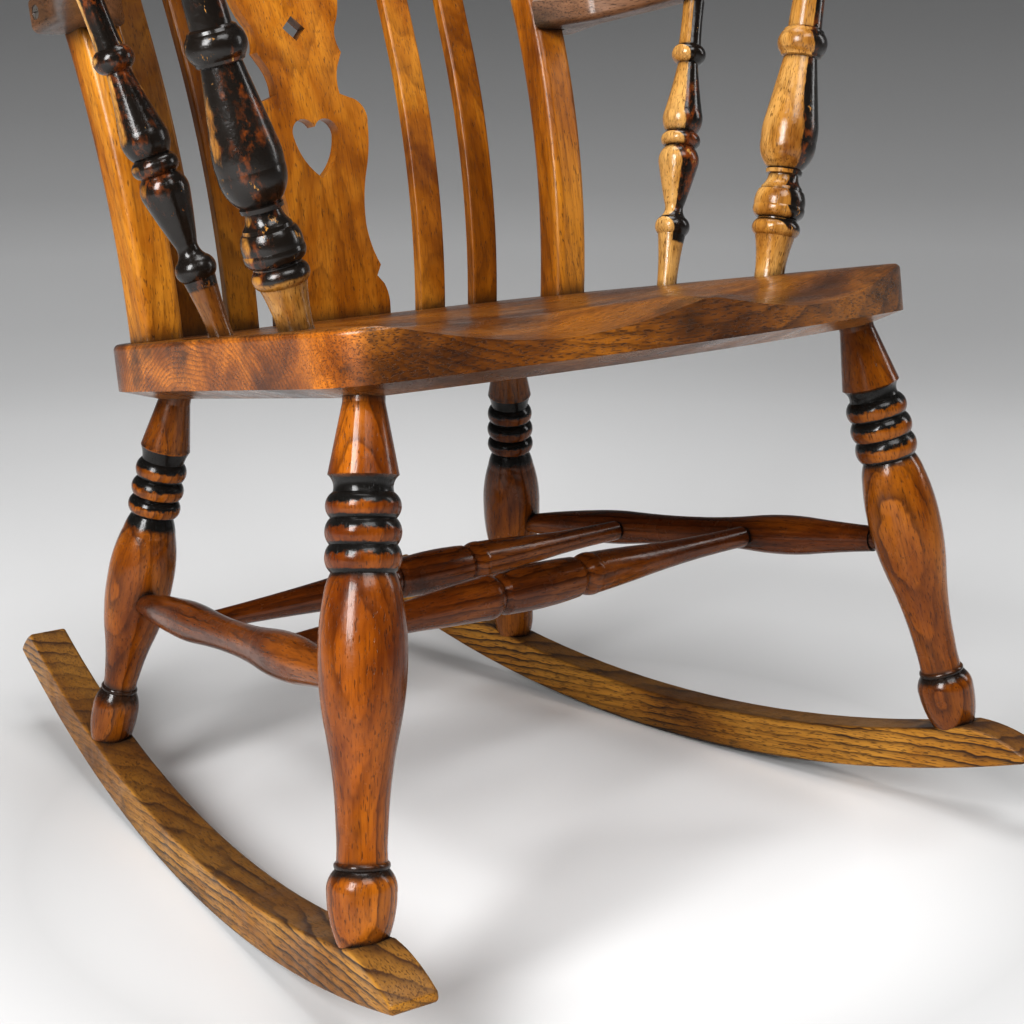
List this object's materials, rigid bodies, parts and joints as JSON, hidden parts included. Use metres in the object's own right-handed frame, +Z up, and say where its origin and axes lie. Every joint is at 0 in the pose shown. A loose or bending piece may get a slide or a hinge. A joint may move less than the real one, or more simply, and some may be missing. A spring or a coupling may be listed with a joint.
{
  "type": "rocking chair",
  "caption": "Wooden rocking chair: a hooped back of flat laths and a pierced splat, a saddled seat, flat arms on turned posts, and turned legs tenoned into curved rockers.",
  "frame": {"origin": "middle of the chair's outline in plan, at the level floor that its rockers touch", "axes": "+Z up, +Y to the rear of the chair, +X to the viewer's right as the chair is seen from in front"},
  "size_m": [0.595, 0.6952, 0.9669],
  "materials": {
    "seat_board": "polished elm, orange brown",
    "legs": "polished beech, red brown",
    "rockers": "worn ash, yellow brown",
    "stretchers": "polished beech, dark red brown",
    "bent_back": "polished beech, golden brown",
    "arms": "dark worn polish",
    "screws": "dulled steel"
  },
  "bodies": {
    "root": {"seat": "seat_board", "front_left_leg": "legs", "front_right_leg": "legs", "rear_left_leg": "legs", "rear_right_leg": "legs", "left_rocker": "rockers", "right_rocker": "rockers", "left_side_stretcher": "stretchers", "right_side_stretcher": "stretchers", "front_cross_stretcher": "stretchers", "rear_cross_stretcher": "stretchers", "back_hoop": "bent_back", "splat": "bent_back", "left_outer_lath": "bent_back", "left_inner_lath": "bent_back", "right_inner_lath": "bent_back", "right_outer_lath": "bent_back", "left_arm": "arms", "right_arm": "arms", "front_left_arm_post": "arms", "front_right_arm_post": "arms", "rear_left_arm_post": "arms", "rear_right_arm_post": "arms", "left_arm_screw": "screws", "right_arm_screw": "screws"}
  },
  "joints": []
}
